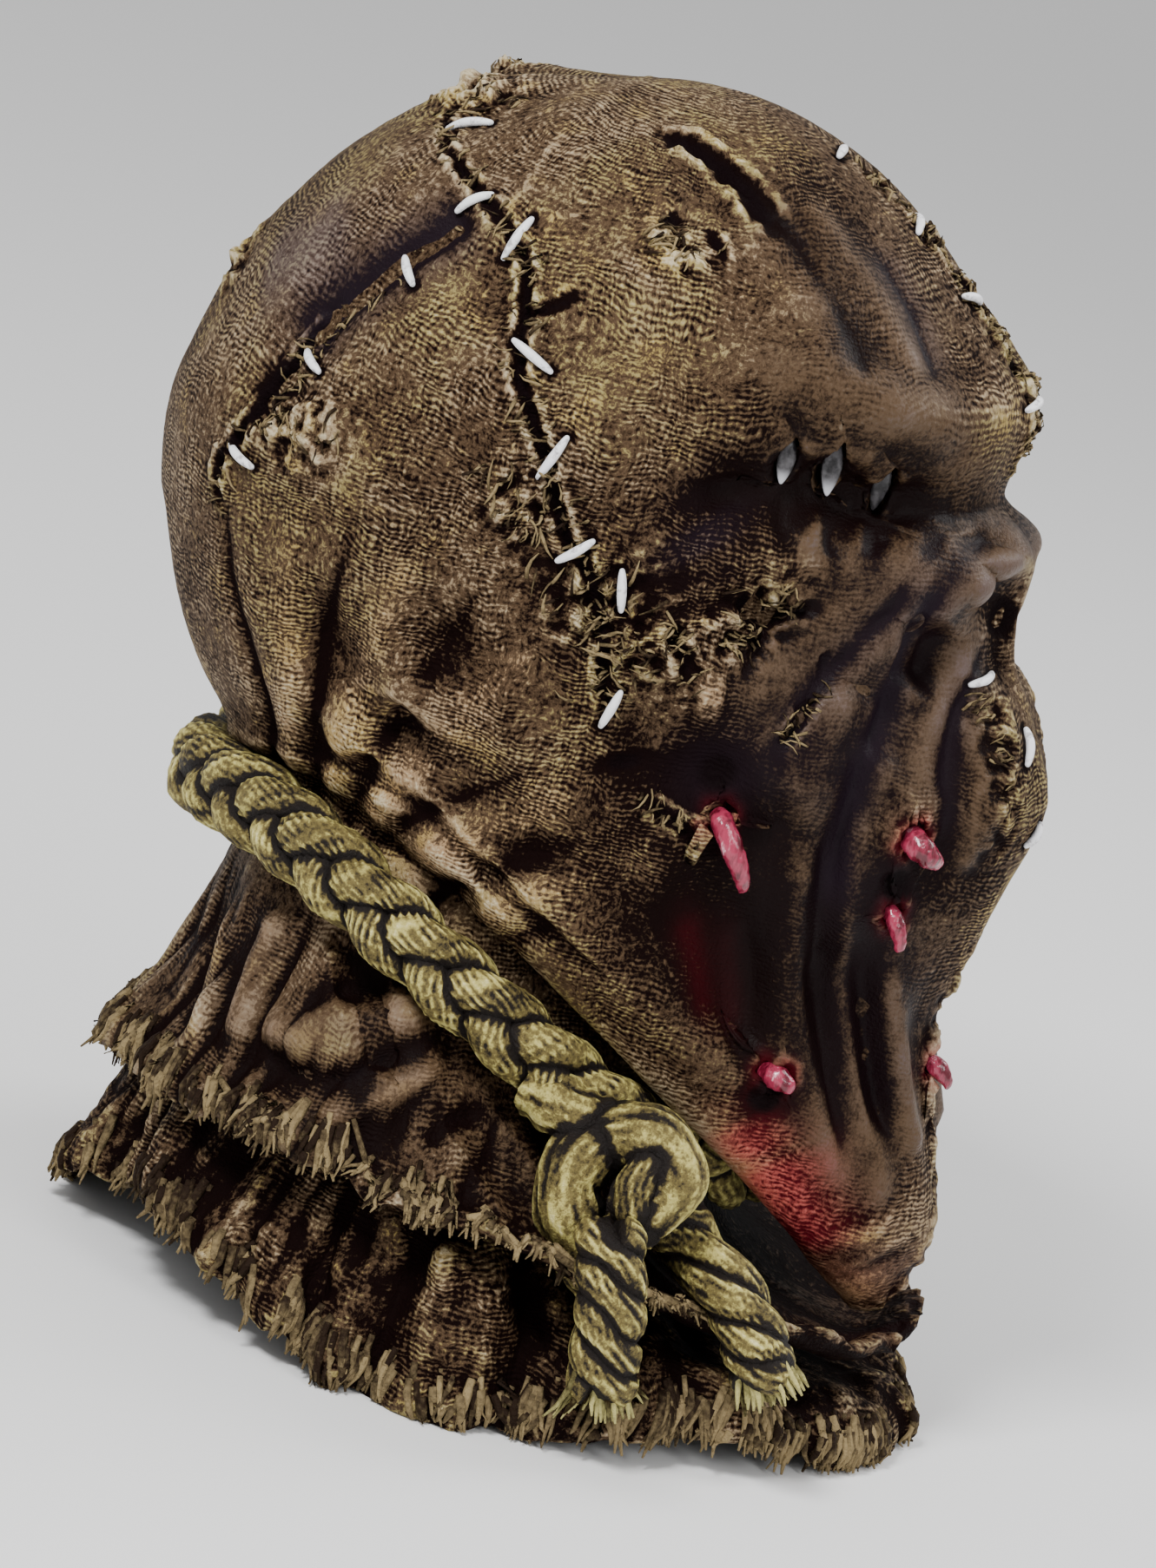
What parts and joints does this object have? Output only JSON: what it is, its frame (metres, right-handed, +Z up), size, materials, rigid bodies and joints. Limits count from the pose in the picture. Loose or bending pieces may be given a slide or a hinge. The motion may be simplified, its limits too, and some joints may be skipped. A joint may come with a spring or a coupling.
{
  "type": "scarecrow mask",
  "caption": "Full-head sack mask with stitched seams, eye slits and fangs, gathered at the neck by a knotted rope over a ragged two-layer collar.",
  "frame": {"origin": "on the floor, under the middle of the mask's box", "axes": "+Z up from the collar to the crown, the face looks along -Y, the mask's right side is -X"},
  "size_m": [0.2342, 0.3058, 0.384],
  "materials": {
    "sack": "latex painted as burlap, dry-brushed tan over dark brown, satin",
    "lower_sack": "latex painted as ragged burlap, darker, satin",
    "rope": "yellow-olive rope strands with dark lines between them",
    "stitch": "white painted thread",
    "fang": "wet gloss, pink to dark red",
    "eye": "wet gloss grey"
  },
  "bodies": {
    "root": {"under_collar": "lower_sack", "fang_cheek_right": "fang", "fang_cheek_left": "fang", "fang_lip_upper_right": "fang", "fang_lip_upper_left": "fang", "fang_lip_lower_right": "fang", "fang_lip_lower_left": "fang", "fang_jaw_right": "fang", "fang_jaw_left": "fang", "fang_chin": "fang", "eye_right_outer": "eye", "eye_left_outer": "eye", "eye_right_middle": "eye", "eye_left_middle": "eye", "eye_right_inner": "eye", "eye_left_inner": "eye", "hood": "sack", "stitch_crown_right": "stitch", "stitch_crown_left": "stitch", "stitch_seam_a_right": "stitch", "stitch_seam_a_left": "stitch", "stitch_seam_b_right": "stitch", "stitch_seam_b_left": "stitch", "stitch_seam_c_right": "stitch", "stitch_seam_c_left": "stitch", "stitch_seam_d_right": "stitch", "stitch_seam_d_left": "stitch", "stitch_seam_e_right": "stitch", "stitch_seam_e_left": "stitch", "stitch_seam_f_right": "stitch", "stitch_seam_f_left": "stitch", "stitch_seam_g_right": "stitch", "stitch_seam_g_left": "stitch", "stitch_back_a_right": "stitch", "stitch_back_a_left": "stitch", "stitch_back_b_right": "stitch", "stitch_back_b_left": "stitch", "stitch_back_c_right": "stitch", "stitch_back_c_left": "stitch", "stitch_forehead_a": "stitch", "stitch_forehead_b": "stitch", "stitch_forehead_c": "stitch", "stitch_forehead_d": "stitch", "stitch_muzzle_a_right": "stitch", "stitch_muzzle_a_left": "stitch", "stitch_muzzle_b": "stitch", "stitch_muzzle_c": "stitch", "rope_ring": "rope", "rope_tail_a": "rope", "rope_tail_b": "rope", "rope_knot": "rope"}
  },
  "joints": []
}
